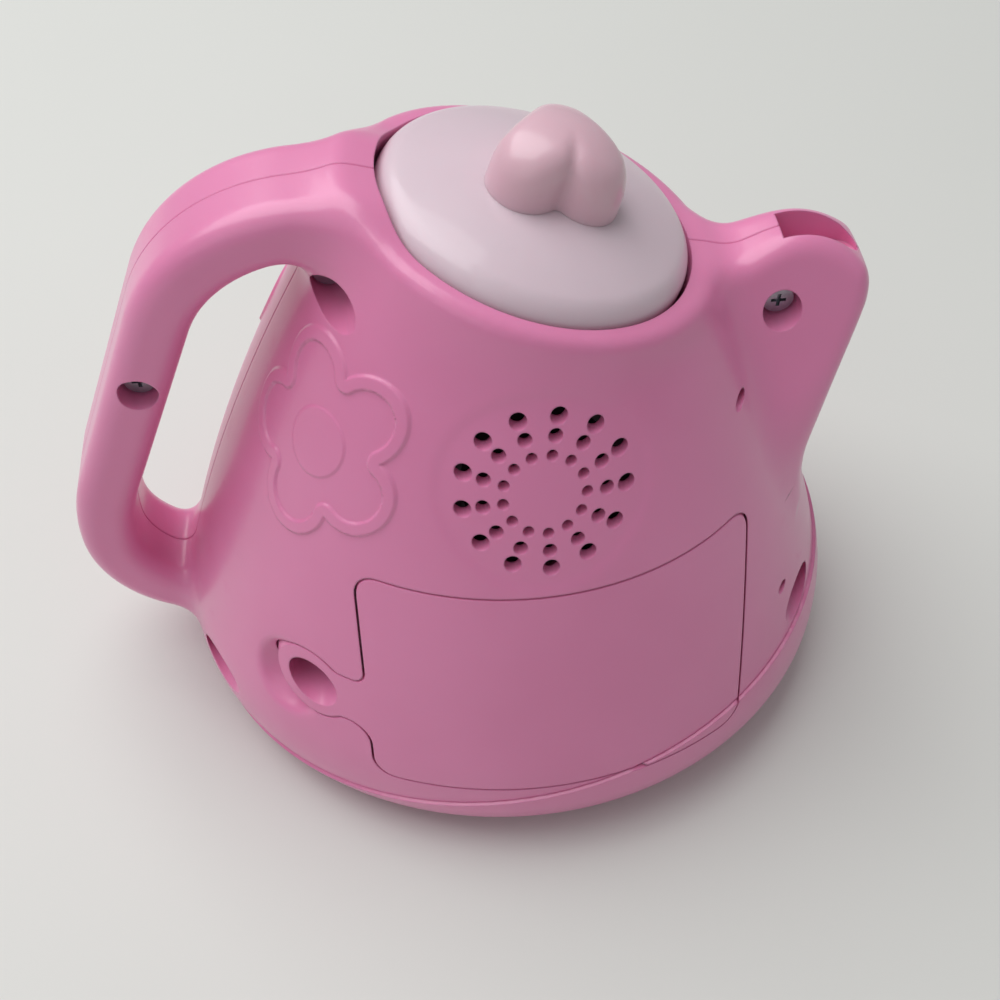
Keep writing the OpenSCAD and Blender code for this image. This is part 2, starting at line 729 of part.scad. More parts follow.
module battery_box() {
    r = cell_d / 2 + cell_gap;
    grow = -wall - seat_gap;
    post_top = tab_y - tab_floor_t - free_gap;
    color("mistyrose") rear() difference() {
        union() {
            intersection() {
                half_pot(grow);
                for (i = [0:cells - 1]) cell_at(i) translate([-box_wall, -r - box_wall, -r - box_wall])
                    cube([bay_l + 2 * box_wall, far, 2 * (r + box_wall)]);
            }
            intersection() {
                difference() {
                    half_pot(grow);
                    whole_pot(grow - box_wall);
                }
                upright() linear_extrude(far) box_plan();
            }
            translate([tab_x, post_top, tab_z]) rotate([90, 0, 0])
                cylinder(d = board_post_d + box_wall, h = door_screw_l);
            translate([tab_x, post_top - door_screw_l, tab_z - board_post_d / 2])
                cube([bay_x0 - tab_x, door_screw_l - box_wall, board_post_d]);
            for (s = [-1, 1]) translate([door_x + s * board_post_x, box_back_y + box_wall / 2, board_z])
                rotate([90, 0, 0]) cylinder(d = board_post_d, h = board_post_l + box_wall / 2);
        }
        for (i = [0:cells - 1]) {
            cell_at(i) rotate([0, 90, 0]) cylinder(r = r, h = bay_l);
            cell_at(i) translate([0, 0, -r]) cube([bay_l, far, 2 * r]);
        }
        translate([tab_x, post_top + over, tab_z]) rotate([90, 0, 0])
            cylinder(r = screw_bore_r, h = door_screw_l);
        for (s = [-1, 1]) translate([door_x + s * board_post_x, board_y - over, board_z])
            rotate([-90, 0, 0]) cylinder(r = screw_bore_r, h = board_screw_l + over);
    }
}
// The rim that the door rests on: a band round the bay, left open under the door's tab
module box_plan() {
    difference() {
        translate([door_x0 - box_rim, door_z - box_rim])
            square([door_w + 2 * box_rim, door_h + 2 * box_rim]);
        translate([bay_x0, door_z - box_rim - over])
            square([bay_l, door_h + 2 * (box_rim + over)]);
        translate([tab_x, tab_z]) circle(tab_r + door_gap + free_gap);
    }
}
module battery_cells() {
    nub_r = nub_share * cell_d / 2;
    color("dimgray") rear() for (i = [0:cells - 1]) {
        start = contact_t + (i % 2 == 1 ? spring_room : 0);
        cell_at(i) translate([start + cell_l / 2, 0, 0]) rotate([0, i % 2 == 1 ? 90 : -90, 0])
            rotate_extrude() polygon([
                [0, -cell_l / 2], [cell_d / 2, -cell_l / 2], [cell_d / 2, cell_l / 2 - cell_nub],
                [nub_r, cell_l / 2 - cell_nub], [nub_r, cell_l / 2], [0, cell_l / 2]
            ]);
    }
}
module contact_at(i, end) {
    cell_at(i) translate([end * bay_l, 0, 0]) rotate([0, end == 0 ? 90 : -90, 0]) children();
}
module contact_plate() {
    translate([-contact_w / 2, -contact_w / 2, 0]) cube([contact_w, contact_w, contact_t]);
}
module spring_contacts() {
    color("silver") rear() for (i = [0:cells - 1]) contact_at(i, 1 - i % 2) {
        contact_plate();
        translate([0, 0, contact_t])
            coil(contact_coil_r, contact_wire, spring_room - seat_gap, contact_turns);
    }
}
module plate_contacts() {
    color("silver") rear() for (i = [0:cells - 1]) contact_at(i, i % 2) contact_plate();
}
module speaker_axis() {
    translate([grille_x, wall_y(grille_x, grille_z), grille_z]) rotate([90 + grille_lean, 0, 0]) children();
}
module speaker_posts() {
    intersection() {
        half_pot(-wall / 2);
        speaker_axis() for (i = [0:speaker_stays - 1]) {
            ray = floor(i * grille_rays / speaker_stays) + 0.5;
            rotate(-grille_turn - 360 * ray / grille_rays) translate([0, speaker_d / 2, 0])
                cylinder(d = speaker_post_d, h = speaker_depth);
        }
    }
}
module speaker_frame() {
    r = speaker_d / 2;
    color("dimgray") rear() speaker_axis() translate([0, 0, speaker_depth]) rotate_extrude() polygon([
        [r - speaker_rim, 0], [r, 0], [r, speaker_t], [r - speaker_t, speaker_t],
        [magnet_r + speaker_t, speaker_h], [cone_neck_r, speaker_h], [cone_neck_r, speaker_h - speaker_t],
        [magnet_r, speaker_h - speaker_t], [r - speaker_rim, speaker_t]
    ]);
}
module speaker_cone() {
    r = speaker_d / 2 - speaker_rim - seat_gap;
    color("black") rear() speaker_axis() translate([0, 0, speaker_depth]) rotate_extrude() polygon([
        [0, cone_h - speaker_t], [cone_neck_r - speaker_t, cone_h], [r - speaker_t, 0], [r, 0],
        [r, speaker_t / 2], [r - speaker_t, speaker_t / 2], [cone_neck_r - seat_gap, cone_h + speaker_t],
        [cone_neck_r - seat_gap, speaker_h], [0, speaker_h]
    ]);
}
module speaker_magnet() {
    color("silver") rear() speaker_axis() translate([0, 0, speaker_depth + speaker_h])
        cylinder(r = magnet_r, h = magnet_h);
}
module circuit_board() {
    color("seagreen") rear() difference() {
        translate([door_x - board_w / 2, board_y - board_t, board_z - board_h / 2])
            cube([board_w, board_t, board_h]);
        for (s = [-1, 1]) translate([door_x + s * board_post_x, board_y + over, board_z])
            rotate([90, 0, 0]) cylinder(r = screw_bore_r, h = board_t + 2 * over);
    }
}
module sound_chip() {
    color("black") rear() translate([door_x, board_y - board_t, board_z]) rotate([90, 0, 0]) rotate_extrude()
        polygon(concat([[0, 0]], [for (a = [0:15:90]) [chip_r * cos(a), chip_h * sin(a)]]));
}
module board_screws() {
    color("silver") rear() for (s = [-1, 1])
        translate([door_x + s * board_post_x, board_y - board_t, board_z])
            rotate([-90, 0, 0]) screw(board_screw_l);
}
module power_switch() {
    x0 = -slider_w / 2 - free_gap - switch_wall;
    w = slider_w + slider_travel + 2 * (free_gap + switch_wall);
    d = slider_d + 2 * (free_gap + switch_wall);
    color("dimgray") translate([x0, slider_y - d / 2, pot_floor]) difference() {
        cube([w, d, switch_h]);
        translate([switch_wall, switch_wall, -over])
            cube([w - 2 * switch_wall, d - 2 * switch_wall, switch_h - switch_wall + over]);
    }
}
module power_slider() {
    color("white") translate([-slider_w / 2, slider_y - slider_d / 2, foot_h - slider_drop])
        cube([slider_w, slider_d, pot_floor - foot_h + slider_drop + switch_h - switch_wall - slider_clear]);
}

in_frame() rear_shell();
in_frame() front_shell();
in_frame() lid();
in_frame() lid_knob();
in_frame() lid_screw();
in_frame() lid_washer();
in_frame() lid_spring();
in_frame() lid_deck();
in_frame() deck_lights();
in_frame() switch_bridge();
in_frame() lid_switch();
in_frame() battery_door();
in_frame() door_screw();
in_frame() shell_screws();
in_frame() battery_box();
in_frame() battery_cells();
in_frame() spring_contacts();
in_frame() plate_contacts();
in_frame() speaker_frame();
in_frame() speaker_cone();
in_frame() speaker_magnet();
in_frame() circuit_board();
in_frame() sound_chip();
in_frame() board_screws();
in_frame() power_switch();
in_frame() power_slider();
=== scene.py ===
import math

import bmesh
import bpy
import numpy as np
from mathutils import Matrix, Vector


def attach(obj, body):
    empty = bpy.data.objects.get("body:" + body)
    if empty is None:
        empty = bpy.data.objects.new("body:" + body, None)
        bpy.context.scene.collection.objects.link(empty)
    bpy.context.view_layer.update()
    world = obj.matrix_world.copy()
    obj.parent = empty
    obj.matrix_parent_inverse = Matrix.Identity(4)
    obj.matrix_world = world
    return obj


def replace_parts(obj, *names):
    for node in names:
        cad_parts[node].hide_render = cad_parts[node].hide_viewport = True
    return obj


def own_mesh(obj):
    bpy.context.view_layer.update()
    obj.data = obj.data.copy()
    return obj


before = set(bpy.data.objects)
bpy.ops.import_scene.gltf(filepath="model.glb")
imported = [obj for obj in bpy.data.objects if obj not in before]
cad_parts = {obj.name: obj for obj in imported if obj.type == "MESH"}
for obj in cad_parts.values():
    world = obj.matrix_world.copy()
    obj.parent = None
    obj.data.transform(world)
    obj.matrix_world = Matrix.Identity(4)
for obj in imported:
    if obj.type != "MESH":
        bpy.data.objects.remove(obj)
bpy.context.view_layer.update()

# The shells: two half bodies of glossy pink plastic that meet on the plane y = 0.
# Pot, handle, spout and lid collar are moulded in one piece with them, with soft roots, and the
# walls are hollow. Five screws from the rear hold the halves together.
MM = 0.001
frame_x = 9.238
body_r = 67.5
oval = 124 / 135
belly_z = 14
rim_turn = 14
belly_turn = 40
shoulder_turn = 375
shoulder_lean = math.radians(17)
wall = 2.4
floor_z = 3
top_z = 115.7
floor_edge = 1
past = 90
merge = 1e-3
near_plane = 1e-5
rim_c = np.array([body_r - rim_turn, belly_z])
belly_c = np.array([body_r - belly_turn, belly_z])
lean_way = np.array([math.cos(shoulder_lean), math.sin(shoulder_lean)])
shoulder_c = belly_c + (belly_turn - shoulder_turn) * lean_way


def start_line(x, z):
    """A new mesh that holds the first point of an outline in the XZ plane."""
    bm = bmesh.new()
    return bm, bm.verts.new((x, 0, z))


def line_to(bm, point, x, z):
    """Carries an outline on to a point and returns its new end."""
    end = bmesh.ops.extrude_vert_indiv(bm, verts=[point])["verts"][0]
    end.co = (x, 0, z)
    return end


def arc_on(bm, point, centre, degrees, steps):
    """Carries an outline on along an arc, counter-clockwise as seen from the rear."""
    turned = bmesh.ops.spin(
        bm, geom=[point], cent=(centre[0], 0, centre[1]), axis=(0, -1, 0),
        angle=math.radians(degrees), steps=steps, use_merge=False, use_duplicate=False)
    return next(part for part in turned["geom_last"] if isinstance(part, bmesh.types.BMVert))


def turn_round(bm, segments):
    """Spins an outline about the Z axis into a closed solid."""
    bmesh.ops.spin(
        bm, geom=bm.verts[:] + bm.edges[:], cent=(0, 0, 0), axis=(0, 0, 1),
        angle=2 * math.pi, steps=segments, use_merge=True, use_duplicate=False)
    close_up(bm)


def close_up(bm):
    """Merges doubles and points the faces outwards."""
    bmesh.ops.remove_doubles(bm, verts=bm.verts, dist=merge)
    bmesh.ops.recalc_face_normals(bm, faces=bm.faces)


def solid(name, bm):
    """Makes an object of a mesh, still in millimetres."""
    mesh = bpy.data.meshes.new(name)
    bm.to_mesh(mesh)
    bm.free()
    made = bpy.data.objects.new(name, mesh)
    bpy.context.scene.collection.objects.link(made)
    return made


def apply_modifiers(made):
    """Fixes an object's modifiers into its mesh."""
    seen = made.evaluated_get(bpy.context.evaluated_depsgraph_get())
    mesh = bpy.data.meshes.new_from_object(seen)
    made.modifiers.clear()
    made.data = mesh


def carve(made, tool, operation, keep_tool=False):
    """Joins two solids, cuts the second from the first, or keeps what they share."""
    step = made.modifiers.new("carve", "BOOLEAN")
    step.operation = operation
    step.solver = "MANIFOLD"
    step.object = tool
    apply_modifiers(made)
    if not keep_tool:
        bpy.data.objects.remove(tool)


def rod(bm, radius, start, end, segments=48):
    """Adds a closed cylinder between two points."""
    start = Vector(start)
    way = Vector(end) - start
    place = Matrix.Translation(start + way / 2) @ way.to_track_quat("Z", "Y").to_matrix().to_4x4()
    bmesh.ops.create_cone(
        bm, cap_ends=True, segments=segments, radius1=radius, radius2=radius,
        depth=way.length, matrix=place)


def box(bm, low, high):
    """Adds a box between two corners."""
    low, high = Vector(low), Vector(high)
    place = Matrix.Translation((low + high) / 2) @ Matrix.Diagonal((*(high - low), 1))
    bmesh.ops.create_cube(bm, size=1, matrix=place)


def pot_solid(grow, segments, fine=1):
    """The pot without its fittings, grown outwards: rim turn, belly turn and long shoulder."""
    low = floor_z - grow
    rim = math.degrees(math.asin((belly_z - low) / (rim_turn + grow)))
    top = math.degrees(math.asin((top_z - shoulder_c[1]) / (shoulder_turn + grow)))
    lean = math.degrees(shoulder_lean)
    bm, point = start_line(0, low)
    point = line_to(bm, point, rim_c[0] + (rim_turn + grow) * math.cos(math.radians(rim)), low)
    point = arc_on(bm, point, rim_c, rim, 8 * fine)
    point = arc_on(bm, point, belly_c, lean, 6 * fine)
    point = arc_on(bm, point, shoulder_c, top - lean, 24 * fine)
    line_to(bm, point, 0, point.co.z)
    turn_round(bm, segments)
    bmesh.ops.scale(bm, vec=(1, oval, 1), verts=bm.verts)
    return bm


def smooth_min(a, b, soft):
    """The lesser of two distances, with a soft root where they meet."""
    share = np.clip(0.5 + 0.5 * (b - a) / soft, 0, 1)
    return b + (a - b) * share - soft * share * (1 - share)


def smooth_max(a, b, soft):
    """The greater of two distances, with a rounded edge where they meet."""
    return -smooth_min(-a, -b, soft)


def ramp(value, low, high):
    """Rises smoothly from 0 to 1 between two values."""
    share = np.clip((value - low) / (high - low), 0, 1)
    return share * share * (3 - 2 * share)


def pot_field(p):
    """Distance outside the pot's side wall and floor."""
    r = np.hypot(p[:, 0], p[:, 1] / oval)
    z = p[:, 2]
    rim = np.hypot(np.maximum(r - rim_c[0], 0), z - rim_c[1]) - rim_turn
    belly = np.hypot(r - belly_c[0], z - belly_c[1]) - belly_turn
    shoulder = np.hypot(r - shoulder_c[0], z - shoulder_c[1]) - shoulder_turn
    on_belly = np.arctan2(z - belly_c[1], r - belly_c[0]) < shoulder_lean
    side = np.where(z < belly_z, rim, np.where(on_belly, belly, shoulder))
    return smooth_max(side, floor_z - z, floor_edge)


# The lid's opening: a slanted plane with a low collar round it.
lid_place = np.array([4.5, 0, 104])
lid_tilt = math.radians(17.2)
lid_up = np.array([math.sin(lid_tilt), 0, math.cos(lid_tilt)])
lid_frame = Matrix.Translation(lid_place) @ Matrix.Rotation(lid_tilt, 4, "Y")
lid_r = 27.5
bore_r = lid_r + 0.6
collar_r = bore_r + 2.6
collar_bottom = -11.2
collar_edge = 2.2
collar_root = 5


def collar_field(p):
    """Distance outside the collar, and height over the lid's plane."""
    off = p - lid_place
    height = off @ lid_up
    out = np.linalg.norm(off - height[:, None] * lid_up, axis=1) - collar_r
    return np.maximum(smooth_max(out, height, collar_edge), collar_bottom - height), height


# The handle: a flat band with round edges, along three bends and a straight run.
band_t = 11
band_w = 21
band_edge = 4
top_bend = (-33, 81.5), 29, 56, 157
side_bend = (-39.7, 37.6), 40, 157, 180
low_bend = (-59.7, 37.6), 20, 180, 264
upper_root = 9
lower_root = 5
root_change = 50, 80


def on_bend(bend, degrees):
    """A point of a bend's middle line."""
    (x, z), r = bend[:2]
    return np.array([x + r * math.cos(math.radians(degrees)), z + r * math.sin(math.radians(degrees))])


run_start = on_bend(top_bend, top_bend[3])
run_end = on_bend(side_bend, side_bend[2])


def band_solid():
    """The handle as a round-edged section swept along its middle line."""
    bm = bmesh.new()
    corners = [bm.verts.new((t, w, 0)) for t, w in ((-1, -1), (1, -1), (1, 1), (-1, 1))]
    bm.faces.new(corners)
    bmesh.ops.scale(bm, vec=(band_t / 2, band_w / 2, 1), verts=bm.verts)
    bmesh.ops.bevel(
        bm, geom=bm.verts[:], offset=band_edge, offset_type="OFFSET", affect="VERTICES",
        segments=5, profile=0.5, material=-1)
    begin = on_bend(top_bend, top_bend[2])
    lift = Matrix.Rotation(-math.radians(top_bend[2]), 4, "Y")
    bmesh.ops.transform(bm, matrix=Matrix.Translation((begin[0], 0, begin[1])) @ lift, verts=bm.verts)
    bmesh.ops.delete(bm, geom=bm.faces[:], context="FACES_ONLY")
    end = bm.verts[:] + bm.edges[:]
    for bend, steps in ((top_bend, 20), (None, 1), (side_bend, 8), (low_bend, 16)):
        if bend:
            turned = bmesh.ops.spin(
                bm, geom=end, cent=(bend[0][0], 0, bend[0][1]), axis=(0, -1, 0),
                angle=math.radians(bend[3] - bend[2]), steps=steps, use_merge=False, use_duplicate=False)
            end = turned["geom_last"]
        else:
            loop = [part for part in end if isinstance(part, bmesh.types.BMEdge)]
            end = bmesh.ops.extrude_edge_only(bm, edges=loop)["geom"]
            end = [part for part in end if not isinstance(part, bmesh.types.BMFace)]
            way = run_end - run_start
            ends = [part for part in end if isinstance(part, bmesh.types.BMVert)]
            bmesh.ops.translate(bm, vec=(way[0], 0, way[1]), verts=ends)
    bmesh.ops.remove_doubles(bm, verts=bm.verts, dist=merge)
    bmesh.ops.holes_fill(bm, edges=bm.edges, sides=0)
    close_up(bm)
    return bm


def band_field(p):
    """Distance outside the handle's band."""
    q = p[:, [0, 2]]
    off = np.full(len(p), np.inf)
    for centre, r, low, high in (top_bend, side_bend, low_bend):
        way = q - np.array(centre)
        angle = np.clip(np.degrees(np.arctan2(way[:, 1], way[:, 0])) % 360, low, high)
        near = np.array(centre) + r * np.stack([np.cos(np.radians(angle)), np.sin(np.radians(angle))], -1)
        off = np.minimum(off, np.linalg.norm(q - near, axis=1))
    run = run_end - run_start
    along = np.clip((q - run_start) @ run / (run @ run), 0, 1)
    off = np.minimum(off, np.linalg.norm(q - run_start - along[:, None] * run, axis=1))
    a = off - (band_t / 2 - band_edge)
    b = np.abs(p[:, 1]) - (band_w / 2 - band_edge)
    return np.hypot(np.maximum(a, 0), np.maximum(b, 0)) + np.minimum(np.maximum(a, b), 0) - band_edge


# The spout: two curves meet at a blunt tip, and the sides spread downwards.
tip = np.array([65.5, 90])
tip_blunt = 3
dip = np.array([35.76, 94.5])
root = np.array([55.43, 52])
crest = 13
spout_top_z = dip[1] + 0.4 * crest
spout_top_w = 10
spout_spread = 0.42
nose_r = 20
spout_edge = 3
spout_root = 5
spout_below = 4
under_end = tip - np.array([tip_blunt / 4, tip_blunt])
top_shares = (0.3, 0.05), (0.48, 1)
under_shares = (0.1, 0.38), (0.4, 0.7)


def curve(start, shares, reach, end):
    """Points of a curve whose two handles are shares of its reach."""
    t = np.linspace(0, 1, 101)[:, None]
    a, b = (start + np.array(share) * reach for share in shares)
    return (1 - t) ** 3 * start + 3 * t * (1 - t) ** 2 * a + 3 * t * t * (1 - t) * b + t ** 3 * end


spout_top = curve(dip, top_shares, np.array([tip[0] - dip[0], crest]), tip)
spout_under = np.vstack([curve(root, under_shares, under_end - root, under_end), tip])


def half_width(z):
    """Half the spout's width at a height."""
    return spout_top_w / 2 + spout_spread * (spout_top_z - z)


def spout_solid():
    """The spout as its side outline, drawn out to its width."""
    bm, point = start_line(lid_place[0], root[1])
    first = point
    for x, z in [(lid_place[0], dip[1]), *spout_top[::5], *spout_under[-2::-5]]:
        point = line_to(bm, point, x, z)
    bm.edges.new((point, first))
    face = bmesh.ops.edgeloop_fill(bm, edges=bm.edges[:])["faces"]
    far = bmesh.ops.extrude_face_region(bm, geom=face)["geom"]
    far = [part for part in far if isinstance(part, bmesh.types.BMVert)]
    for point in bm.verts:
        side = 1 if point in far else -1
        point.co.y = side * half_width(point.co.z)
    close_up(bm)
    return bm


def spout_field(p):
    """Distance outside the spout."""
    x, y, z = p[:, 0], np.abs(p[:, 1]), p[:, 2]
    slope_top = np.gradient(spout_top[:, 1], spout_top[:, 0])
    slope_under = np.gradient(spout_under[:, 0], spout_under[:, 1])
    rise = np.interp(x, spout_top[:, 0], slope_top)
    lean = np.interp(z, spout_under[:, 1], slope_under)
    over = (z - np.interp(x, *spout_top.T)) / np.hypot(1, rise)
    before = (x - np.interp(z, spout_under[:, 1], spout_under[:, 0])) / np.hypot(1, lean)
    beside = (y - half_width(z)) / math.hypot(1, spout_spread)
    round_nose = np.hypot(np.maximum(x - tip[0] + nose_r, 0), y) - nose_r
    below = np.maximum(root[1] - spout_below - z, lid_place[0] - x)
    outline = smooth_max(over, before, spout_edge)
    return np.maximum(smooth_max(smooth_max(outline, beside, spout_edge), round_nose, spout_edge), below)


def housing_field(p):
    """Distance outside the moulded housing, with soft roots at the handle, spout and collar."""
    collar, height = collar_field(p)
    pot = smooth_max(pot_field(p), height, collar_edge)
    form = smooth_min(pot, collar, collar_root)
    band_soft = lower_root + (upper_root - lower_root) * ramp(p[:, 2], *root_change)
    form = smooth_min(form, band_field(p), band_soft)
    return smooth_min(form, spout_field(p), spout_root)


# The flower in low relief beside the grille, on both sides, and the finger scoop at the door's tab.
flower_turn = math.radians(218.5)
flower_z = 80.5
wall_slope = 1.1
petals = 5
petal_place = 11.5
petal_r = 8
petal_first = math.radians(45)
band_in = 2.5
relief = 0.45
relief_edge = 0.22
eye_r = 6.3
eye_relief = 0.25
grille = np.array([2, 80])
disc_r = 17.8
disc_drop = 0.22
disc_edge = 1.2
scoop_place = np.array([-45.4, 33.2])
scoop_r = 9.4
scoop_drop = 4.4
scoop_edge = 1.0


def flower_marks(p):
    """Distance outside the petals, and distance from the flower's middle, along the wall."""
    turn = np.arctan2(-np.abs(p[:, 1]) / oval, p[:, 0]) % (2 * math.pi)
    u = (turn - flower_turn) * np.hypot(p[:, 0], p[:, 1] / oval)
    v = (p[:, 2] - flower_z) * wall_slope
    middle = np.hypot(u, v)
    half = math.pi / petals
    swing = (np.arctan2(v, u) - petal_first + half) % (2 * half) - half
    a, b = middle * np.cos(swing) - petal_place, middle * np.abs(np.sin(swing))
    cleft = petal_place * math.cos(half) + math.sqrt(petal_r ** 2 - (petal_place * math.sin(half)) ** 2)
    cleft_a, cleft_b = cleft * math.cos(half) - petal_place, cleft * math.sin(half)
    on_petal = np.arctan2(b, a) <= math.atan2(cleft_b, cleft_a)
    edge = np.where(on_petal, np.hypot(a, b) - petal_r, -np.hypot(a - cleft_a, b - cleft_b))
    return edge, middle


def wall_point(x, z):
    """The rear wall's point at a place, and its outward normal."""
    halvings = 40
    low, high = np.array([x, 0, z]), np.array([x, -past, z])
    for _ in range(halvings):
        middle = (low + high) / 2
        if pot_field(middle[None])[0] < 0:
            low = middle
        else:
            high = middle
    way = slope_of(pot_field, low[None])[0]
    return low, way / np.linalg.norm(way)


def slope_of(field, p, step=0.02):
    """A field's gradient, from its differences along the three axes."""
    slopes = [field(p + step * axis) - field(p - step * axis) for axis in np.eye(3)]
    return np.stack(slopes, -1) / (2 * step)


scoop_on, scoop_way = wall_point(*scoop_place)
scoop_c = scoop_on + (scoop_r - scoop_drop) * scoop_way


def finished_field(p):
    """The housing with its relief, its grille disc and its finger scoop."""
    edge, middle = flower_marks(p)
    raised = relief * ramp(edge, relief_edge, -relief_edge)
    raised *= ramp(edge, -band_in - relief_edge, -band_in + relief_edge)
    raised += eye_relief * ramp(middle, eye_r + relief_edge, eye_r - relief_edge)
    from_grille = np.hypot(p[:, 0] - grille[0], (p[:, 2] - grille[1]) * wall_slope)
    sunk = disc_drop * ramp(from_grille, disc_r + disc_edge, disc_r - disc_edge) * (p[:, 1] < 0)
    scoop = np.linalg.norm(p - scoop_c, axis=1) - scoop_r
    return smooth_max(housing_field(p) - raised + sunk, -scoop, scoop_edge)


def press_on(points, field, steps=3):
    """Moves mesh points onto a field's zero surface."""
    least_slope = 0.05
    places = np.array([point.co for point in points])
    for _ in range(steps):
        way = slope_of(field, places)
        places -= (field(places) / np.maximum((way * way).sum(1), least_slope))[:, None] * way
    for point, place in zip(points, places):
        point.co = place


# The base band: below a slanted line the wall stands out a little, with a fine groove over it.
step_z = 17
step_tilt = math.radians(9)
step_d = 0.6
step_groove = 0.5
step_side = 0.3
step_up = np.array([-math.sin(step_tilt), 0, math.cos(step_tilt)])


def set_out_base(bm, field):
    """Cuts the band's edges into a mesh, sinks its groove and sets the wall below out."""
    heights = [step_z * step_up[2] - drop * step_side for drop in (-1, 0, 1)]
    for height in heights:
        parts = bm.verts[:] + bm.edges[:] + bm.faces[:]
        bmesh.ops.bisect_plane(bm, geom=parts, dist=near_plane, plane_co=height * step_up, plane_no=step_up)
    places = np.array([point.co for point in bm.verts]) @ step_up
    groove = [point for point, place in zip(bm.verts, places) if abs(place - heights[1]) < merge]
    below = [point for point, place in zip(bm.verts, places) if place < heights[2] + merge]
    press_on(groove, lambda p: field(p) + step_groove)
    press_on(below, lambda p: field(p) - step_d)


# The outer form: all pieces joined in one even skin, then drawn onto the soft-rooted form.
skin = 0.8
flower_reach, line_reach = 21, 1
flower_low, flower_side = 60, -8
on_wall = 0.6
form = solid("form", pot_solid(0, 128))
collar = bmesh.new()
rod(collar, collar_r, (0, 0, collar_bottom), (0, 0, 0), 128)
bmesh.ops.transform(collar, matrix=lid_frame, verts=collar.verts)
over_lid = bmesh.new()
box(over_lid, (-past, -past, 0), (past, past, past))
bmesh.ops.transform(over_lid, matrix=lid_frame, verts=over_lid.verts)
carve(form, solid("over_lid", over_lid), "DIFFERENCE")
for name, piece in (("collar", collar), ("band", band_solid()), ("spout", spout_solid())):
    carve(form, solid(name, piece), "UNION")
even = form.modifiers.new("skin", "REMESH")
even.mode = "VOXEL"
even.voxel_size = skin
apply_modifiers(form)
bm = bmesh.new()
bm.from_mesh(form.data)
for _ in range(4):
    bmesh.ops.smooth_vert(bm, verts=bm.verts, factor=0.5, use_axis_x=True, use_axis_y=True, use_axis_z=True)
    press_on(bm.verts[:], housing_field, 2)
for reach in (flower_reach, line_reach):
    centres = np.array([face.calc_center_median() for face in bm.faces])
    edge, middle = flower_marks(centres)
    if reach == flower_reach:
        near = middle < reach
    else:
        near = np.minimum(np.minimum(np.abs(edge), np.abs(edge + band_in)), np.abs(middle - eye_r)) < reach
    near &= (centres[:, 2] > flower_low) & (centres[:, 0] < flower_side)
    near &= np.abs(pot_field(centres)) < on_wall
    faces = [face for face, wanted in zip(bm.faces, near) if wanted]
    edges = list({item for face in faces for item in face.edges})
    bmesh.ops.subdivide_edges(bm, edges=edges, cuts=1, use_grid_fill=True)
press_on(bm.verts[:], finished_field, 3)
set_out_base(bm, finished_field)

# The parting line: a fine groove where the halves meet.
groove_w = 0.22
groove_d = 0.25
for y in (-groove_w, 0, groove_w):
    parts = bm.verts[:] + bm.edges[:] + bm.faces[:]
    bmesh.ops.bisect_plane(bm, geom=parts, dist=near_plane, plane_co=(0, y, 0), plane_no=(0, 1, 0))
in_groove = [point for point in bm.verts if abs(point.co.y) < merge]
middle = np.array([point.co for point in in_groove])
way = slope_of(finished_field, middle)
for point, slope in zip(in_groove, way):
    point.co -= groove_d * Vector((slope[0], 0, slope[2])).normalized()
bmesh.ops.recalc_face_normals(bm, faces=bm.faces)
bm.to_mesh(form.data)
bm.free()

# The hollow inside, with the screw posts, the collar's lower part and the scoop's wall left standing.
post_r = 4.7
recess_r = 3.5
screw_r = 1.33
screw_seat = -5
screw_end = 8
through = 1
lid_room = 40
root_screw, run_screw, spout_screw, foot_screw, side_screw = (
    (-29.6, 101.5), tuple(run_start + 0.33 * (run_end - run_start)), (47.5, 88), (-60.3, 18), (55.4, 30))
wall_screws = root_screw, foot_screw, side_screw
screws = *wall_screws, run_screw, spout_screw
hollow = solid("hollow", pot_solid(-wall, 128))
left = bmesh.new()
for x, z in wall_screws:
    rod(left, post_r, (x, -body_r, z), (x, body_r, z))
carve(hollow, solid("posts", left), "DIFFERENCE")
left = bmesh.new()
rod(left, collar_r, (0, 0, collar_bottom), (0, 0, lid_room), 128)
bmesh.ops.transform(left, matrix=lid_frame, verts=left.verts)
carve(hollow, solid("collar_in", left), "DIFFERENCE")
left = bmesh.new()
bmesh.ops.create_icosphere(left, subdivisions=4, radius=scoop_r + wall, matrix=Matrix.Translation(scoop_c))
carve(hollow, solid("scoop_in", left), "DIFFERENCE")
carve(form, hollow, "DIFFERENCE")

# The foot ring under the pot, the lid's bore with the deck's groove, the spout's mouth and the screw bores.
foot_r = 58.2
foot_w = 4
foot_edge = 0.4
foot, point = start_line(foot_r - foot_w, floor_z + wall)
foot_in = foot_r - foot_w
for x, z in ((foot_in, foot_edge), (foot_in + foot_edge, 0), (foot_r - foot_edge, 0), (foot_r, foot_edge)):
    point = line_to(foot, point, x, z)
line_to(foot, line_to(foot, point, foot_r, floor_z + wall), foot_r - foot_w, floor_z + wall)
turn_round(foot, 128)
bmesh.ops.scale(foot, vec=(1, oval, 1), verts=foot.verts)
carve(form, solid("foot", foot), "UNION")
deck_top, deck_bottom, deck_lip, deck_play = -7.6, -9.6, 1.2, 0.1
bore, point = start_line(0, lid_room)
groove_r, seat_r = bore_r + deck_lip + deck_play, bore_r - deck_lip
for x, z in ((bore_r, lid_room), (bore_r, deck_top + deck_play), (groove_r, deck_top + deck_play),
             (groove_r, deck_bottom - deck_play), (seat_r, deck_bottom - deck_play),
             (seat_r, collar_bottom - through), (0, collar_bottom - through)):
    point = line_to(bore, point, x, z)
turn_round(bore, 160)
bmesh.ops.transform(bore, matrix=lid_frame, verts=bore.verts)
carve(form, solid("bore", bore), "DIFFERENCE")
mouth_l, mouth_w, mouth_floor, mouth_over = 15, 6.6, 92, 130
mouth_end = tip[0] - tip_blunt
